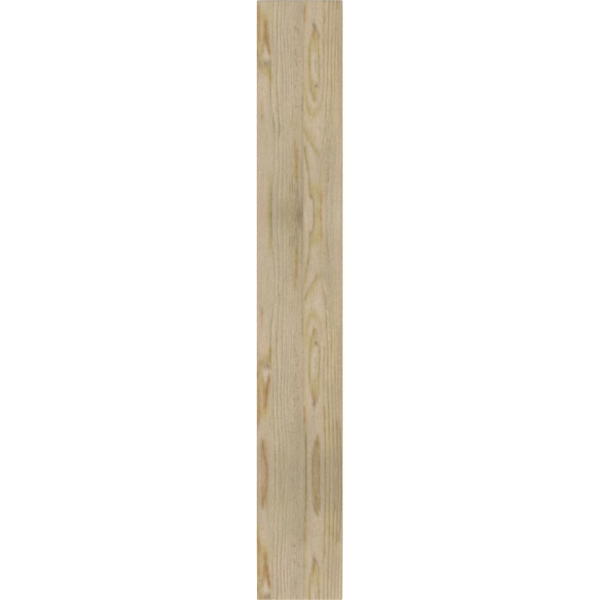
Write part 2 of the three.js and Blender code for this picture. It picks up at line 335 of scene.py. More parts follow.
LEFT_MARKS = {"bold": [
    (0.5, 1.8, (-29.1, 0), (-30, 22)), (0.4, 1.8, (-30.2, 28), (-30.6, 50)),
    (1, 1.8, (-33.7, 84), (-33.6, 107), (-33, 121), (-31.3, 135), (-30.2, 145)),
    (0.4, 1.8, (-29.8, 151), (-28.8, 164), (-28.4, 172)),
    (0.6, 1.8, (-28.2, 180), (-28.8, 200), (-29.6, 208)),
    (0.8, 1.8, (-31.8, 219), (-32.6, 235), (-33.1, 254)), (0.8, 1.8, (-24.2, 0), (-25.2, 20), (-25.7, 38)),
    (0.6, 1.8, (-25.4, 46), (-24.6, 60)),
    (1, 1.8, (-25.2, 70), (-26.1, 92, 107), (-24.6, 123), (-23.3, 146), (-23.8, 168)),
    (0.7, 1.8, (-23.6, 180, 206), (-24.6, 224), (-25.2, 240), (-24.4, 254)),
    (0.8, 1.6, (-19.2, 0), (-20.6, 20), (-21.3, 36), (-21.4, 48)), (1, 1.6, (-21, 58), (-20.4, 70)),
    (0.7, 1.6, (-19.8, 80), (-19.2, 92, 110)), (0.4, 1.6, (-19, 122), (-18.3, 150, 168)),
    (0.6, 1.6, (-18.5, 180), (-18.7, 198)), (0.5, 1.6, (-18.6, 214), (-19.1, 240), (-18.9, 254)),
    (0.4, 1.4, (-16.3, 0), (-16.8, 26)), (0.9, 1.4, (-17.6, 44), (-16.8, 66)),
    (0.4, 1.4, (-15.8, 80), (-14.6, 110)), (0.5, 1.4, (-14.5, 160, 224)),
    (0.5, 1.2, (-13, 32), (-13.2, 40)), (0.9, 1.2, (-13.2, 46), (-13, 62)),
    (0.4, 1.2, (-12.6, 76), (-12, 110)), (0.9, 1.2, (-11, 216, 226)), (0.3, 1.2, (-10, 34), (-9.6, 80)),
    (0.5, 1.2, (-9.2, 88), (-8.8, 110), (-7.6, 125), (-7.5, 142)), (0.5, 1.2, (-8, 214), (-7.6, 226)),
    (0.5, 1.2, (-5.2, 34), (-5.4, 40)), (0.5, 1.2, (-5, 60), (-6.2, 86), (-6, 110)),
    (0.4, 1.2, (-3.7, 60), (-3.6, 124)),
], "green": [
    (0.5, 4.6, (-34.6, 10), (-34.2, 26)), (0.55, 6, (-40, 142), (-39, 203)), (0.3, 8, (-18, 0, 130)),
    (0.5, 2, (-8.6, 44), (-9, 74)), (0.5, 8, (-20, 150, 254)),
], "pink": [
    (0.6, 0.8, (-43.5, 68), (-31, 68)), (0.5, 1.7, (-46.8, 144, 200)), (0.7, 1.1, (-46.6, 153, 158)),
    (0.3, 2, (-46.4, 92), (-46.8, 122)), (0.5, 4, (-44.6, 214, 254)),
], "lilac": [
    (0.8, 2.6, (-40.6, 58), (-40.4, 66)),
], "pale": [
    (1, 2.3, (-40.6, 58), (-40.4, 66)), (0.5, 0.7, (-43.5, 67.4), (-31, 67.4)), (0.3, 0.6, (1, 242, 254)),
    (0.2, 5, (-39, 98, 138)), (0.2, 5, (-39, 196, 222)),
], "olive": [
    (0.4, 1.6, (-48.8, 22, 46)), (0.35, 2.4, (-44.4, 15), (-43, 25)), (0.6, 1.8, (-48.4, 46, 64)),
    (0.3, 3, (-45.6, 60), (-45.4, 70)), (0.6, 2.2, (-40.4, 18), (-40, 27)), (0.52, 3, (-45, 80), (-39, 84)),
    (0.95, 2.4, (-36.8, 83), (-34.6, 93)), (0.6, 3, (-34.4, 212), (-35.6, 235), (-36, 254)),
    (0.5, 0.9, (-26, 73, 85)), (0.55, 1, (-26.2, 98), (-25.4, 118), (-24.6, 130)),
    (0.95, 1.8, (-3.5, 198, 209)), (0.4, 4, (-5, 176), (-4.4, 210)), (0.55, 1.3, (-10, 143), (-9.6, 149)),
], "orange": [
    (0.8, 1.8, (-48.6, 9), (-48.4, 20)), (0.55, 1.9, (-48.4, 20), (-48.2, 46)), (0.22, 4.6, (-44, 24, 52)),
    (0.6, 1.5, (-48.6, 66), (-48, 78)), (0.25, 2.4, (-46.5, 80, 87)), (0.75, 2.8, (-40.4, 28), (-40.2, 44)),
    (0.4, 1.3, (-42.4, 44), (-43.4, 50, 60)), (0.85, 2.6, (-39, 42), (-38, 50)),
    (0.8, 1.8, (-37.8, 50), (-36.6, 58)), (0.7, 1.4, (-36.2, 58), (-35.2, 63)),
    (0.35, 2, (-45.6, 125), (-45.2, 140)), (0.4, 2, (-5.8, 170), (-5, 182)),
    (0.34, 1.6, (-4.2, 182), (-3.8, 196)),
], "brown": [
    (0.6, 0.8, (-50.4, 61, 66)), (0.4, 1.8, (-40.4, 30), (-39.6, 46)), (0.4, 1.4, (-38.4, 48), (-36.8, 60)),
    (0.55, 1.4, (-41.4, 74.5), (-38, 75), (-35.6, 74)), (0.22, 2.2, (-45, 77), (-35, 77)),
    (0.38, 2, (-36, 84), (-34.4, 92)), (0.4, 0.9, (-34.3, 80), (-34, 92)),
    (0.2, 2.4, (-34, 222), (-35, 254)), (0.45, 1.2, (-32.4, 228), (-33.4, 254)), (0.3, 1, (-3.2, 180, 208)),
    (0.27, 4.4, (-1, 245, 254)), (0.4, 0.8, (-8.8, 215, 221)), (0.3, 0.8, (-6.2, 219), (-6, 230)),
    (0.4, 0.8, (-4.2, 226), (-4, 238)), (0.3, 0.9, (4, 40, 110)), (0.6, 1, (3.8, 114), (3.5, 130)),
    (0.4, 0.9, (3, 136), (2.7, 170), (2.8, 254)),
], "dark": [
    (0.3, 0.9, (-33.8, 96), (-33, 121), (-31, 138), (-29.4, 156)), (0.3, 0.8, (-29.2, 158), (-28.8, 166)),
    (0.4, 0.9, (-23.4, 148), (-23.6, 160)), (0.45, 1.1, (-44.4, 137), (-44.2, 140)),
    (0.7, 0.8, (-3.8, 209), (-3.6, 210)), (0.5, 1.2, (-3, 213), (-2, 232)), (0.23, 6.5, (-8, 244, 254)),
    (0.16, 6, (-19, 246, 254)), (0.22, 3.6, (0.8, 244, 254)), (0.5, 0.7, (-0.4, 242, 254)),
    (0.4, 0.8, (-5, 245, 254)), (0.4, 0.8, (-2.4, 246, 254)), (0.55, 0.8, (-5.2, 33, 34)),
    (0.55, 0.9, (-1.6, 36), (-1.2, 38)), (0.4, 0.8, (-5, 59), (-4.8, 60)), (0.5, 0.8, (-5, 64), (-4.6, 65)),
    (0.4, 0.8, (-3.2, 75, 76)), (0.4, 0.8, (-3.4, 88, 89)), (0.45, 0.8, (-8, 222, 226)),
    (0.45, 0.8, (-11.2, 220, 227)),
], "shade": [
    # The thin shade line at the outer edge, all along the top, is painted shade on the eased arris; the
    # other shade marks are the wood's own darker tone.
    (0.25, 3, (-46, 60, 68)), (0.4, 1, (-50, 0, 254)), (0.35, 6, (-30, 214, 254)),
    (0.12, 5, (-43, 214, 254)), (0.5, 6, (-1, 0, 55)), (0.45, 4, (2, 0, 10)), (0.25, 2.4, (3.6, 118, 136)),
    (0.25, 2.4, (3.6, 214, 228)), (0.22, 5, (-1, 75, 132)), (0.42, 6, (-2, 150, 236)),
    (0.35, 6, (-10, 188, 226)), (0.15, 8, (-22, 196, 232)), (0.6, 2.6, (2.4, 200, 254)),
    (0.35, 4, (-30.4, 50, 66)), (0.2, 9, (-16, 0, 8)),
], "yellow": [
    (0.2, 6, (-1, 0, 150)), (0.25, 7, (-36, 20, 38)), (0.25, 6, (-36, 88, 100)), (0.3, 6, (-3, 150, 206)),
    (0.35, 9, (-9, 220, 248)), (0.35, 5, (-46, 20, 56)),
], "specked": [
    (1, 6.5, (-5, 20, 120)), (1, 6.5, (-5, 190, 254)), (0.6, 4, (-5, 120, 190)),
]}
LEFT_SINGLE_MARKS = {"bold": [
    (0.5, 1.8, (-28.4, 508), (-27.4, 532)), (1, 1.8, (-27.4, 540), (-27.3, 572), (-27.5, 590)),
    (0.4, 1.8, (-27.8, 602), (-28.6, 632)),
    (0.8, 1.6, (-24, 508), (-22.2, 545), (-20.8, 558), (-20.6, 574), (-22.4, 586)),
    (0.6, 1.6, (-23.2, 600), (-24.2, 632)),
    (0.5, 1.6, (-19, 508), (-18, 536), (-16.5, 558), (-16.7, 574), (-19.2, 632)),
    (0.4, 1.4, (-14.5, 508), (-14.2, 540)), (0.4, 1.4, (-14.5, 594, 616)),
], "green": [
    (0.3, 2.4, (-36, 580, 626)), (0.4, 8, (-22, 515, 620)), (0.4, 9, (-5, 530, 596)),
], "pink": [
    (0.5, 5.5, (-42, 530), (-40, 560), (-42, 592)), (0.5, 2.6, (-43.6, 578), (-44, 600)),
    (0.3, 2.4, (-47, 508), (-45, 520)),
], "lilac": [
    (0.4, 2, (-35, 530, 575)), (0.5, 4, (-43, 606, 618)),
], "pale": [
    (0.2, 3.6, (-43, 606, 618)), (0.5, 1.6, (-45, 604.5), (-42, 605)),
], "olive": [
    (0.5, 1.2, (-43.8, 530, 536)), (0.5, 1.2, (-38.6, 594, 600)), (0.75, 2.4, (-48.8, 624, 640)),
], "orange": [
    (0.6, 3.4, (-43.2, 528), (-41.2, 545), (-40.2, 564), (-42.2, 594)),
    (0.35, 1.2, (-45.2, 540), (-45.4, 580)), (0.5, 1, (-43.9, 578), (-43.8, 590)),
], "brown": [
    (0.4, 2.4, (-43.6, 526), (-43.4, 537)), (0.55, 1.3, (-41, 541), (-38.6, 554), (-38, 571), (-40.8, 588)),
    (0.8, 1, (-43.6, 524, 532)),
], "dark": [
    (0.8, 0.8, (-43.8, 590, 602)), (0.7, 0.7, (-41.6, 589, 591)), (0.08, 9, (-16, 552), (-14, 574)),
], "shade": [
    (0.4, 4, (-46, 590, 614)), (0.15, 9, (10, 562, 574)), (0.6, 9, (-5, 558, 574)),
    # The thin shade line at the outer edge is painted shade on the eased arris; the other shade marks are
    # the wood's own darker tone.
    (0.4, 1, (-50, 500, 640)), (0.6, 3.4, (-49, 534, 596)), (0.12, 8, (-42, 514, 594)),
    (0.38, 3.6, (-36.6, 534, 580)), (0.65, 7, (-23, 546, 592)), (0.75, 8, (0, 514, 626)),
    (0.2, 7, (-11, 530, 616)),
], "yellow": [
    (0.25, 14, (-26, 550, 594)), (0.35, 4, (-47, 590, 600)), (0.2, 7, (-2, 512, 628)),
], "specked": [
    (0.8, 8, (-6, 508, 632)),
]}

# Colours of the wood, as the share of red, green and blue light that comes back. The stains
# are in the order they are laid over each other.
LEFT_EARLY_WOOD = (0.481, 0.385, 0.270)
LEFT_LATE_WOOD = (0.335, 0.268, 0.165)
RIGHT_EARLY_WOOD = (0.483, 0.386, 0.263)
RIGHT_LATE_WOOD = (0.345, 0.266, 0.128)
END_EARLY_WOOD = (0.400, 0.300, 0.178)
END_LATE_WOOD = (0.215, 0.140, 0.066)
TONE_COLOURS = {
    "green": (0.395, 0.345, 0.215),
    "pink": (0.455, 0.335, 0.230),
    "lilac": (0.485, 0.388, 0.278),
    "pale": (0.530, 0.445, 0.325),
    "olive": (0.410, 0.326, 0.132),
    "orange": (0.360, 0.205, 0.066),
    "brown": (0.250, 0.175, 0.085),
    "dark": (0.225, 0.170, 0.100),
}
# Broad washes over the wood, as the share of light that they leave. The darkening wash also
# draws a thin line along the outer edge of each stave's top: painted shade where the eased
# arris turns away from the lamp.
WASH_AND_EDGE_SHADE_TINTS = {
    "shade": (0.80, 0.80, 0.80),
    "yellow": (1.00, 0.985, 0.72),
}
# Bold rings show strongly, and specked wood has short dark dashes
MARKS = [*TONE_COLOURS, *WASH_AND_EDGE_SHADE_TINTS, "bold", "specked"]

# Noise in the wood: size across, along and up in millimetres, detail, roughness, and a
# shift that keeps the patterns apart
PATTERNS = {
    "wander": (2.2, 34, 2.2, 2, 0.55, 0),
    "patches": (7, 60, 7, 3, 0.55, 3),
    "breaks": (1.8, 7, 1.8, 2, 0.6, 5),
    "fray": (1.3, 14, 1.3, 3, 0.6, 7),
    "fibre": (1.1, 12, 1.1, 3, 0.6, 11),
    "fine": (0.45, 7, 0.45, 2, 0.6, 13),
    "mottle": (7, 30, 7, 2, 0.5, 17),
    "pore": (0.95, 4, 0.95, 1, 0.5, 19),
    "blush": (3, 7, 3, 2, 0.6, 23),
    "fleck": (2.2, 3.2, 2.2, 2, 0.6, 29),
    "drift": (9, 28, 9, 2, 0.5, 37),
    "warmth": (2.4, 18, 2.4, 2, 0.6, 41),
    "dash": (1.5, 3.6, 1.5, 2, 0.6, 43),
    "streak": (1, 45, 1, 2, 0.6, 47),
    "fuzz": (1.3, 1.6, 1.3, 1, 0.5, 53),
    "saw": (90, 90, 1.1, 2, 0.6, 59),
}
SHIFT_SHARES = (1.0, 1.7, 0.6)
LEFT_SHIFT = 0.0
RIGHT_SHIFT = 31.0

# The low and high values of a noise between which it works
NARROW = (0.3, 0.7)
MIDDLE = (0.25, 0.75)
WIDE = (0.2, 0.8)

# Growth rings: how far they wander, in rings; the part of a ring over which late wood comes
# in and stops; the part over which the pale opening comes in and stops, and its gain
WANDER = (-0.06, 0.18)
LATE_COMES = (0.35, 0.93)
LATE_STOPS = (0.955, 1.0)
OPENING_COMES = (0.0, 0.12)
OPENING_STOPS = (0.2, 0.5)
OPENING_GAIN = 1.09

# Strength of the rings: on the top, where patches show them faintly and bold marks show
# them well, and below it, where no two rings are alike
PATCHES = (0.4, 1.15)
BREAKS = (0.75, 1.2)
FAINT_RINGS = 0.28
HIDDEN_RINGS = (0.45, 1.0)
HIDDEN_PATCHES = (0.8, 1.45)
FRAY = (0.65, 1.3)

# Cut ends: how squarely a face has to cross the grain, the gain of its rings, and the share
# of light between saw marks
CUT = (0.65, 0.95)
CUT_RINGS = 1.5
SAW_MARKS = (0.90, 1.08)

# How much each noise lightens and darkens the wood, and turns its red, green and blue
SHADES = [
    ("fibre", WIDE, 0.09),
    ("fine", WIDE, 0.06),
    ("fleck", WIDE, 0.10),
    ("streak", MIDDLE, 0.05),
    ("fuzz", WIDE, 0.045),
    ("mottle", MIDDLE, 0.03),
]
COLOUR_TURNS = [
    [("blush", MIDDLE, 0.014), ("drift", MIDDLE, 0.015)],
    [("blush", MIDDLE, -0.012), ("drift", MIDDLE, -0.010)],
    [("warmth", MIDDLE, 0.045)],
]

# Pores and dashes: the noise values over which they open, and their darkness
PORES_OPEN = (0.68, 0.77)
PORE_DARKNESS = 0.5
DASHES_OPEN = (0.56, 0.68)
DASH_DARKNESS = 0.55

# Relief and gloss of the planed face
LATE_RELIEF = 0.5
FIBRE_RELIEF = 0.7
FINE_RELIEF = 0.4
BUMP_STRENGTH = 0.5
BUMP_DISTANCE = 0.25 * MM
ROUGHNESS = (0.66, 0.84)
SPECULAR = 0.25

# Floor and light
FLOOR_HALF = 8.0
FLOOR_COLOUR = (0.84, 0.84, 0.84)
FLOOR_GLOW = 0.42
WHITE = (1, 1, 1, 1)
SKY_STRENGTH = 0.45
LAMP_STRENGTH = 2.28
LAMP_WIDTH = math.radians(28)
LAMP_TURN = (math.radians(20), math.radians(-3), 0)

# Camera: width of the picture, and how far its middle is from the middle of the top
PICTURE_WIDTH = 710.9 * MM
PICTURE_RIGHT = 0.42
PICTURE_UP = 0.2
SENSOR_WIDTH = 36.0
LENS = 300.0
FARTHEST = 100.0


# The points of a line. Each place has a distance across and one or more along.
def line_points(places):
    return [(across, along) for across, *alongs in places for along in alongs]


# A line of the figure with its repeats along the beam.
def repeats(points):
    turned = [(across, 2 * TURN - along) for across, along in points]
    again = [(across, REPEAT + along) for across, along in points if along < REPEATED]
    return [line for line in (points, turned, again) if line]


# Every line with its repeats, then the single ones, all behind their own count of numbers.
def laid_out(repeated, single, count):
    laid = []
    for line in repeated:
        laid += [(*line[:count], points) for points in repeats(line_points(line[count:]))]
    return laid + [(*line[:count], line_points(line[count:])) for line in single]


def laid_out_marks(repeated, single):
    return {kind: laid_out(repeated.get(kind, []), single.get(kind, []), 2) for kind in MARKS}


# Points along a line, close enough together to hold a smooth surface to it.
def along_line(points, spacing):
    points = np.array(points, dtype=float)
    filled = []
    for start, end in zip(points[:-1], points[1:]):
        steps = max(1, int(round(np.hypot(*(end - start)) / spacing)))
        filled += [start + (end - start) * step / steps for step in range(steps)]
    filled.append(points[-1])
    return np.array(filled)


# A smooth surface through the ring numbers of a stave's top, as a function of place.
class RingSurface:
    SPACING = 13.0
    ACROSS_SCALE = 0.1
    ALONG_SCALE = 0.03
    STIFFNESS = 0.02
    BATCH = 20000

    def __init__(self, rings):
        lines = [along_line(points, self.SPACING) for _, points in rings]
        numbers = np.repeat([float(number) for number, _ in rings], [len(line) for line in lines])
        self.places = self.scaled(np.vstack(lines))
        count = len(self.places)
        kernel = self.kernel(self.places) + self.STIFFNESS * np.eye(count)
        plane = np.hstack([np.ones((count, 1)), self.places])
        system = np.block([[kernel, plane], [plane.T, np.zeros((3, 3))]])
        target = np.concatenate([numbers, np.zeros(3)])
        self.weights = np.linalg.solve(system, target)

    def scaled(self, places):
        return places * np.array([self.ACROSS_SCALE, self.ALONG_SCALE])

    def kernel(self, places):
        gap = places[:, None, :] - self.places[None, :, :]
        squared = (gap**2).sum(axis=2)
        return squared * np.log(squared + TINY) / 2

    def at(self, across, along):
        values = np.empty(len(across))
        for start in range(0, len(across), self.BATCH):
            part = slice(start, start + self.BATCH)
            places = self.scaled(np.column_stack([across[part], along[part]]))
            plane = np.hstack([np.ones((len(places), 1)), places])
            values[part] = np.hstack([self.kernel(places), plane]) @ self.weights
        return values


# The sum of some slow waves at each place.
def waves(places, shapes, pith_x=0.0):
    total = np.zeros(len(places))
    for height, length, share, start in shapes:
        total += height * np.sin(places / length + share * pith_x + start)
    return total


# Ring number at a distance from the pith.
def plain_rings(radius):
    return radius / RING_WIDTH + FIRST_RING + waves(radius, GOOD_YEARS)


# Ring numbers through the whole of a stave: the drawn figure near the top, plain circles
# about the wandering pith below it.
def ring_numbers(points, rings, pith_x):
    across, along, height = points[:, 0], WALL_Y - points[:, 1], points[:, 2]
    depth = np.clip(TOP_Z - height, 0, None)
    near_top = np.exp(-depth / FIGURE_DEPTH)
    pith = pith_x + waves(along, PITH_SWAY, pith_x) * (1 - near_top)
    pith_depth = PITH_DEPTH + waves(along, PITH_DIP, pith_x) * (1 - near_top)
    plain = plain_rings(np.hypot(across - pith, depth - pith_depth))
    on_top = plain_rings(np.hypot(across - pith_x, PITH_DEPTH))
    figure = np.zeros(len(points))
    shallow = depth < FIGURE_GONE
    surface = RingSurface(rings)
    figure[shallow] = surface.at(across[shallow], along[shallow]) - on_top[shallow]
    return plain + figure * near_top


# How strongly one mark shows at each place on the top.
def mark_strength(across, along, half_width, points):
    points = np.array(points, dtype=float)
    nearest = np.full(len(across), np.inf)
    ease = np.array([1.0, STAIN_ALONG])
    place = np.column_stack([across, along]) * ease
    ends = points[1:] if len(points) > 1 else points
    for start, end in zip(points * ease, ends * ease):
        step = end - start
        share = np.clip(((place - start) @ step) / max(step @ step, TINY), 0, 1)
        gap = place - start - share[:, None] * step
        nearest = np.minimum(nearest, np.hypot(gap[:, 0], gap[:, 1]))
    return np.exp(-((nearest / half_width) ** 2) * STAIN_FADE)


# The strength of one kind of mark at every vertex, fading below the top.
def mark_strengths(points, marks):
    across, along = points[:, 0], WALL_Y - points[:, 1]
    depth = np.clip(TOP_Z - points[:, 2], 0, None)
    fade = np.exp(-depth / STAIN_DEPTH)
    shallow = np.nonzero(fade > FAINTEST)[0]
    left_bare = np.ones(len(shallow))
    for strength, half_width, line in marks:
        shown = strength * mark_strength(across[shallow], along[shallow], half_width, line)
        left_bare *= 1 - np.clip(shown, 0, 1)
    strengths = np.zeros(len(points))
    strengths[shallow] = 1 - left_bare
    return strengths * fade


# A rounded outer corner of the profile: the arc from one straight side to the next.
def rounded(corner, before, after):
    corner, before, after = [np.array(point, dtype=float) for point in (corner, before, after)]
    into = (before - corner) / np.linalg.norm(before - corner)
    out = (after - corner) / np.linalg.norm(after - corner)
    half_angle = math.acos(np.clip(into @ out, -1, 1)) / 2
    reach = CORNER_RADIUS / math.tan(half_angle)
    towards_middle = (into + out) / np.linalg.norm(into + out)
    middle = corner + towards_middle * CORNER_RADIUS / math.sin(half_angle)
    start = corner + into * reach - middle
    end = corner + out * reach - middle
    sweep = math.pi - 2 * half_angle
    arc = []
    for step in range(CORNER_STEPS + 1):
        share = step / CORNER_STEPS
        first = math.sin((1 - share) * sweep) / math.sin(sweep)
        second = math.sin(share * sweep) / math.sin(sweep)
        arc.append(middle + first * start + second * end)
    return arc


# Points from one place to another, with both ends left out.
def between(start, end, spacing):
    start, end = np.array(start, dtype=float), np.array(end, dtype=float)
    steps = max(1, int(round(np.linalg.norm(end - start) / spacing)))
    return [start + (end - start) * step / steps for step in range(1, steps)]


# The quarter circle of the cove, from under the nose to the underside.
def cove_points(front_y, bottom_z):
    steps = int(COVE_RADIUS * math.pi / 2 / COVE_STEP)
    angles = [math.pi / 2 * (1 - step / steps) for step in range(steps + 1)]
    arc = np.array([(math.cos(angle), math.sin(angle)) for angle in angles])
    return arc * COVE_RADIUS + (front_y, bottom_z)


# The beam's side profile in Y and Z as a dense closed loop: from the wall end along the top,
# down the nose, round the cove and back along the underside. Each corner has its place,
# whether it is an outer one, and the spacing of the points that follow it.
def profile_loop():
    shoulder_y = NOSE_Y + UPPER_FILLET_DEPTH
    cove_z = BOTTOM_Z + LOWER_FILLET_HEIGHT
    nose_z = cove_z + COVE_RADIUS + UPPER_FILLET_HEIGHT
    under_y = shoulder_y + COVE_RADIUS + LOWER_FILLET_DEPTH
    cove = cove_points(shoulder_y, cove_z)
    corners = [
        ((WALL_Y, TOP_Z), True, TOP_STEP),
        ((NOSE_Y, TOP_Z), True, END_STEP),
        ((NOSE_Y, nose_z), True, END_STEP),
        ((shoulder_y, nose_z), False, END_STEP),
        (cove[0], True, None),
        (cove[-1], True, END_STEP),
        ((under_y, cove_z), False, END_STEP),
        ((under_y, BOTTOM_Z), True, UNDERSIDE_STEP),
        ((WALL_Y, BOTTOM_Z), True, END_STEP),
    ]
    cove_start, cove_end = 4, 5
    count = len(corners)
    places = [np.array(place, dtype=float) for place, _, _ in corners]
    pieces = []
    for index, (_, is_outer, _) in enumerate(corners):
        before = cove[-1 - COVE_TRIM] if index == cove_end else places[index - 1]
        after = cove[COVE_TRIM] if index == cove_start else places[(index + 1) % count]
        pieces.append(rounded(places[index], before, after) if is_outer else [places[index]])
    loop = []
    for index, (_, _, spacing) in enumerate(corners):
        loop.extend(pieces[index])
        if index == cove_start:
            loop.extend(cove[COVE_TRIM:-COVE_TRIM])
        else:
            loop.extend(between(pieces[index][-1], pieces[(index + 1) % count][0], spacing))
    return np.array(loop)


# The same loop moved inwards by a distance, square to its sides.
def inset_loop(loop, distance):
    ahead = np.roll(loop, -1, axis=0) - loop
    ahead /= np.linalg.norm(ahead, axis=1)[:, None]
    behind = np.roll(ahead, 1, axis=0)
    bisector = ahead + behind
    bisector /= np.linalg.norm(bisector, axis=1)[:, None]
    inwards = np.column_stack([-bisector[:, 1], bisector[:, 0]])
    stretch = 1 / np.clip((bisector * ahead).sum(axis=1), LEAST_COSINE, 1)
    return loop + inwards * (distance * stretch)[:, None]


# Whether each point lies inside a closed loop.
def inside(points, loop):
    result = np.zeros(len(points), dtype=bool)
    for (y0, z0), (y1, z1) in zip(loop, np.roll(loop, -1, axis=0)):
        if z0 == z1:
            continue
        crosses = (z0 > points[:, 1]) != (z1 > points[:, 1])
        where = y0 + (points[:, 1] - z0) / (z1 - z0) * (y1 - y0)
        result ^= crosses & (points[:, 0] < where)
    return result


# Triangles that fill a loop, with a grid of extra points inside it.
def filled_loop(loop, spacing):
    low = loop.min(axis=0) + spacing * GRID_START
    high = loop.max(axis=0) - spacing * GRID_STOP
    grid_lines = [np.arange(start, stop, spacing) for start, stop in zip(low, high)]
    grid = np.column_stack([grid.ravel() for grid in np.meshgrid(*grid_lines)])
    grid = grid[inside(grid, inset_loop(loop, spacing * GRID_CLEARANCE))]
    points = [Vector(point) for point in np.vstack([loop, grid])]
    edges = [(index, (index + 1) % len(loop)) for index in range(len(loop))]
    result = delaunay_2d_cdt(points, edges, [list(range(len(loop)))], 1, TOUCHING)
    return grid, result[2]


# Round an eased edge, pairs of distances: from the side face, and in from the profile.
def eased_stations(reach, steps):
    stations = []
    for step in range(steps + 1):
        angle = math.pi / 2 * step / steps
        stations.append((reach * (1 - math.cos(angle)), reach * (1 - math.sin(angle))))
    return stations


# Where the profile is set across a stave, and how far it is moved in at each place.
def stave_stations(low_x, high_x, first, last):
    start, end = low_x + first[-1][0], high_x - last[-1][0]
    count = int(round((end - start) / ACROSS_STEP))
    stations = [(low_x + reach, inset) for reach, inset in first]
    stations += [(start + (end - start) * step / count, 0.0) for step in range(1, count)]
    stations += [(high_x - reach, inset) for reach, inset in reversed(last)]
    return stations


# One stave: the profile swept across its width, with its arrises eased and both its side
# faces filled. The outer side is -1 on the left and 1 on the right.
def stave_shape(low_x, high_x, outer_side):
    loop = profile_loop()
    outer = (eased_stations(ARRIS, ARRIS_STEPS), SIDE_GRID)
    seam = (eased_stations(SEAM_EASE, SEAM_STEPS), SEAM_GRID)
    (first, low_grid), (last, high_grid) = (outer, seam) if outer_side < 0 else (seam, outer)
    rows = []
    for x, inset in stave_stations(low_x, high_x, first, last):
        row = inset_loop(loop, inset) if inset else loop
        rows.append(np.column_stack([np.full(len(loop), x), row]))
    size = len(loop)
    faces = []
    for row in range(len(rows) - 1):
        here = row * size
        beyond = here + size
        for index in range(size):
            after = (index + 1) % size
            faces.append((here + index, here + after, beyond + after, beyond + index))
    points = np.vstack(rows)
    for row, spacing, flip in ((0, low_grid, False), (len(rows) - 1, high_grid, True)):
        grid, triangles = filled_loop(rows[row][:, 1:], spacing)
        offset = len(points) - size
        side_x = np.full(len(grid), rows[row][0, 0])
        points = np.vstack([points, np.column_stack([side_x, grid])])
        for triangle in triangles:
            corners = [row * size + v if v < size else offset + v for v in triangle]
            faces.append(tuple(reversed(corners)) if flip else tuple(corners))
    return points, faces


def add_object(name, data):
    added = bpy.data.objects.new(name, data)
    bpy.context.collection.objects.link(added)
    return added


def add_values(mesh, name, values):
    attribute = mesh.attributes.new(name, "FLOAT", "POINT")
    attribute.data.foreach_set("value", values.astype(np.float32))


# How far each vertex faces along the grain, from 0 on the long faces to 1 on a cut end.
def end_share(mesh):
    normals = np.empty(len(mesh.vertices) * 3)
    mesh.vertex_normals.foreach_get("vector", normals)
    return np.abs(normals.reshape(-1, 3)[:, 1])


def build_stave(name, node, outer_side, rings, marks, pith_x):
    low, high = [np.array(corner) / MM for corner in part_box(node)]
    points, faces = stave_shape(low[0], high[0], outer_side)
    depth = np.clip(TOP_Z - points[:, 2], 0, None)
    mesh = bpy.data.meshes.new(name)
    mesh.from_pydata((points * MM).tolist(), [], faces)
    mesh.update()
    mesh.shade_smooth()
    mesh.set_sharp_from_angle(angle=SHARP_ANGLE)
    add_values(mesh, "ring", ring_numbers(points, rings, pith_x))
    add_values(mesh, "end", end_share(mesh))
    add_values(mesh, "below", 1 - np.exp(-depth / STAIN_DEPTH))
    for kind in MARKS:
        add_values(mesh, kind, mark_strengths(points, marks[kind]))
    return add_object(name, mesh)


# Small helpers for a node material. Inputs are numbers, colours or the outputs of nodes.
class Graph:
    def __init__(self, material):
        material.use_nodes = True
        self.tree = material.node_tree
        self.tree.nodes.clear()

    def node(self, kind, inputs=None, **settings):
        made = self.tree.nodes.new("ShaderNode" + kind)
        for key, value in settings.items():
            setattr(made, key, value)
        for key, value in (inputs or {}).items():
            self.put(value, made.inputs[key])
        return made

    def put(self, value, socket):
        if isinstance(value, bpy.types.NodeSocket):
            self.tree.links.new(value, socket)
        elif isinstance(value, tuple) and len(value) == 3 and len(socket.default_value) == 4:
            socket.default_value = (*value, 1.0)
        else:
            socket.default_value = value

    def value(self, name):
        return self.node("Attribute", attribute_name=name).outputs["Fac"]

    def math(self, operation, first, second=0.0, third=0.0):
        inputs = {0: first, 1: second, 2: third}
        return self.node("Math", inputs, operation=operation).outputs[0]

    def times(self, first, second):
        return self.math("MULTIPLY", first, second)

    def at_most_one(self, value):
        return self.math("MINIMUM", value, 1.0)

    # A number, and then a colour, part of the way from one to another
    def blend(self, share, first, second):
        inputs = {0: share, 2: first, 3: second}
        return self.node("Mix", inputs, data_type="FLOAT").outputs[0]

    def mix(self, share, first, second, blend="MIX"):
        inputs = {0: share, 6: first, 7: second}
        return self.node("Mix", inputs, data_type="RGBA", blend_type=blend).outputs[2]

    # A value taken from one reach to another, in a soft curve or straight
    def soft(self, value, reach, to_reach=(0.0, 1.0), curve="SMOOTHSTEP"):
        inputs = dict(enumerate((value, *reach, *to_reach)))
        return self.node("MapRange", inputs, interpolation_type=curve).outputs[0]

    def straight(self, value, reach, to_reach):
        return self.soft(value, reach, to_reach, "LINEAR")

    # Noise drawn out along the grain, as the table of patterns gives it
    def noise(self, across, along, up, detail, roughness, shift):
        inputs = {
            "Vector": self.node("TexCoord").outputs["Object"],
            "Location": tuple(shift * share for share in SHIFT_SHARES),
            "Scale": (1 / (across * MM), 1 / (along * MM), 1 / (up * MM)),
        }
        place = self.node("Mapping", inputs).outputs[0]
        inputs = {"Vector": place, "Scale": 1.0, "Detail": detail, "Roughness": roughness}
        return self.node("TexNoise", inputs).outputs["Fac"]

    def surface(self, inputs):
        shader = self.node("BsdfPrincipled", inputs)
        self.node("OutputMaterial", {"Surface": shader.outputs[0]})


# Every pattern of noise for one stave, which has its own shift.
def all_noise(graph, stave_shift):
    noise = {}
    for name, (*settings, shift) in PATTERNS.items():
        noise[name] = graph.noise(*settings, stave_shift + shift)
    return noise


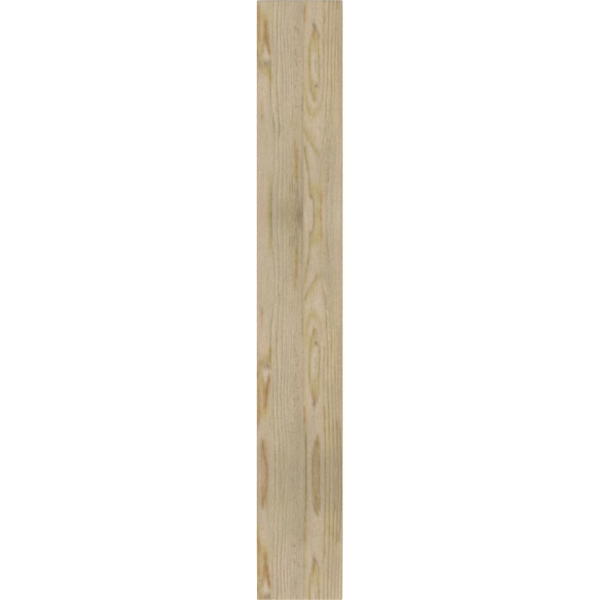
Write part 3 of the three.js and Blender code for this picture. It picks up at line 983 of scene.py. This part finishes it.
# How strongly the growth rings show, from 0 to 1.
def ring_strength(graph, noise, ring):
    patches = graph.soft(noise["patches"], NARROW, PATCHES)
    breaks = graph.straight(noise["breaks"], NARROW, BREAKS)
    on_top = graph.math("MULTIPLY_ADD", patches, FAINT_RINGS, graph.value("bold"))
    chance = graph.node("TexWhiteNoise", {"W": graph.math("FLOOR", ring)}, noise_dimensions="1D")
    each_ring = graph.straight(chance.outputs["Value"], (0.0, 1.0), HIDDEN_RINGS)
    hidden = graph.times(each_ring, graph.straight(patches, PATCHES, HIDDEN_PATCHES))
    shown = graph.blend(graph.value("below"), graph.times(on_top, breaks), hidden)
    return graph.at_most_one(shown)


# Late wood that darkens slowly through each ring and stops short at its end, and the pale
# opening of the ring after it.
def growth_rings(graph, noise):
    wander = graph.straight(noise["wander"], MIDDLE, WANDER)
    ring = graph.math("ADD", graph.value("ring"), wander)
    strength = ring_strength(graph, noise, ring)
    part = graph.math("FRACT", ring)
    late = graph.times(graph.soft(part, LATE_COMES), graph.soft(part, LATE_STOPS, (1.0, 0.0)))
    opening = graph.soft(part, OPENING_COMES)
    opening = graph.times(opening, graph.soft(part, OPENING_STOPS, (1.0, 0.0)))
    return graph.times(late, strength), graph.times(opening, strength)


# The wood's colour with its stains, each frayed along the grain, and its broad washes, one
# of which also paints shade along the outer edges of the top.
def stained_and_edge_shaded(graph, noise, colour):
    fray = graph.straight(noise["fray"], WIDE, FRAY)
    fray = graph.times(fray, graph.straight(noise["breaks"], NARROW, BREAKS))
    for kind, tone in TONE_COLOURS.items():
        amount = graph.at_most_one(graph.times(graph.value(kind), fray))
        colour = graph.mix(amount, colour, tone)
    for kind, tint in WASH_AND_EDGE_SHADE_TINTS.items():
        colour = graph.mix(graph.value(kind), colour, tint, "MULTIPLY")
    return colour


# A share of light, changed a little by each of some patterns of noise.
def varied(graph, noise, light, changes):
    for name, reach, change in changes:
        share = graph.straight(noise[name], reach, (1 - change, 1 + change))
        light = graph.times(light, share)
    return light


# The light that fibres, flecks, saw marks and ring openings leave, in red, green and blue.
def fibre_light(graph, noise, opening, cut):
    saw = graph.straight(noise["saw"], MIDDLE, SAW_MARKS)
    light = graph.blend(cut, 1.0, saw)
    light = varied(graph, noise, light, SHADES)
    light = graph.times(light, graph.straight(opening, (0.0, 1.0), (1.0, OPENING_GAIN)))
    channels = [varied(graph, noise, light, turns) for turns in COLOUR_TURNS]
    return graph.node("CombineColor", dict(enumerate(channels))).outputs[0]


# Small dark pores, and short dark dashes where the wood is specked.
def pores(graph, noise):
    pore = graph.soft(noise["pore"], PORES_OPEN, (0.0, PORE_DARKNESS))
    dash = graph.soft(noise["dash"], DASHES_OPEN, (0.0, DASH_DARKNESS))
    return graph.math("MAXIMUM", pore, graph.times(dash, graph.value("specked")))


# The relief of late wood, fibres and pores.
def relief(graph, noise, late, pore):
    fibres = graph.times(noise["fibre"], FIBRE_RELIEF)
    height = graph.math("MULTIPLY_ADD", late, LATE_RELIEF, fibres)
    height = graph.math("MULTIPLY_ADD", noise["fine"], FINE_RELIEF, height)
    height = graph.math("SUBTRACT", height, pore)
    inputs = {"Strength": BUMP_STRENGTH, "Distance": BUMP_DISTANCE, "Height": height}
    return graph.node("Bump", inputs).outputs[0]


# Pale unfinished pine. Cut ends drink in more light and show their rings more.
def pine(name, shift, early_wood, late_wood):
    material = bpy.data.materials.new(name)
    graph = Graph(material)
    noise = all_noise(graph, shift)
    late, opening = growth_rings(graph, noise)
    cut = graph.soft(graph.value("end"), CUT)
    pore = pores(graph, noise)

    colour = stained_and_edge_shaded(graph, noise, graph.mix(late, early_wood, late_wood))
    cut_late = graph.at_most_one(graph.times(late, CUT_RINGS))
    colour = graph.mix(cut, colour, graph.mix(cut_late, END_EARLY_WOOD, END_LATE_WOOD))
    colour = graph.mix(1.0, colour, fibre_light(graph, noise, opening, cut), "MULTIPLY")
    colour = graph.mix(pore, colour, TONE_COLOURS["dark"])

    graph.surface({
        "Base Color": colour,
        "Roughness": graph.straight(noise["fibre"], WIDE, ROUGHNESS),
        "Specular IOR Level": SPECULAR,
        "Normal": relief(graph, noise, late, pore),
    })
    return material


# Plain pale matt floor that glows a little.
def floor_paint():
    material = bpy.data.materials.new("floor")
    Graph(material).surface({
        "Base Color": FLOOR_COLOUR,
        "Roughness": 1.0,
        "Specular IOR Level": 0.0,
        "Emission Color": WHITE,
        "Emission Strength": FLOOR_GLOW,
    })
    return material


# The floor under the beam
def add_floor():
    mesh = bpy.data.meshes.new("floor")
    signs = ((-1, -1), (1, -1), (1, 1), (-1, 1))
    corners = [(x * FLOOR_HALF, y * FLOOR_HALF, BOTTOM_Z * MM) for x, y in signs]
    mesh.from_pydata(corners, [], [(0, 1, 2, 3)])
    mesh.materials.append(floor_paint())
    floor = add_object("floor", mesh)


# Plain soft studio light: a pale sky and a wide high lamp a little to the front left
def add_light():
    world = bpy.data.worlds.new("studio")
    world.use_nodes = True
    background = world.node_tree.nodes["Background"]
    background.inputs["Color"].default_value = WHITE
    background.inputs["Strength"].default_value = SKY_STRENGTH
    bpy.context.scene.world = world
    data = bpy.data.lights.new("lamp", "SUN")
    data.energy = LAMP_STRENGTH
    data.angle = LAMP_WIDTH
    add_object("lamp", data).rotation_euler = LAMP_TURN


# Camera straight above the middle of the top, far off behind a long lens
def add_camera():
    data = bpy.data.cameras.new("camera")
    data.sensor_width = SENSOR_WIDTH
    data.lens = LENS
    data.clip_end = FARTHEST
    camera = add_object("camera", data)
    distance = PICTURE_WIDTH * LENS / SENSOR_WIDTH
    middle_y = (WALL_Y + NOSE_Y) / 2 + PICTURE_UP
    camera.location = (PICTURE_RIGHT * MM, middle_y * MM, TOP_Z * MM + distance)
    bpy.context.scene.camera = camera
    bpy.context.scene.view_settings.view_transform = "Standard"


left_rings = laid_out(LEFT_RINGS, LEFT_SINGLE_RINGS, 1)
left_marks = laid_out_marks(LEFT_MARKS, LEFT_SINGLE_MARKS)
right_rings = laid_out(RIGHT_RINGS, RIGHT_SINGLE_RINGS, 1)
right_marks = laid_out_marks(RIGHT_MARKS, RIGHT_SINGLE_MARKS)
left = build_stave("pine_left_stave", "left_stave", -1, left_rings, left_marks, LEFT_PITH_X)
right = build_stave("pine_right_stave", "right_stave", 1, right_rings, right_marks, RIGHT_PITH_X)
left.data.materials.append(pine("left_pine", LEFT_SHIFT, LEFT_EARLY_WOOD, LEFT_LATE_WOOD))
right.data.materials.append(pine("right_pine", RIGHT_SHIFT, RIGHT_EARLY_WOOD, RIGHT_LATE_WOOD))
for piece, node, slot in ((left, "left_stave", "left_pine"), (right, "right_stave", "right_pine")):
    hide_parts(node)
    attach(piece, "root")

add_floor()
add_light()
add_camera()
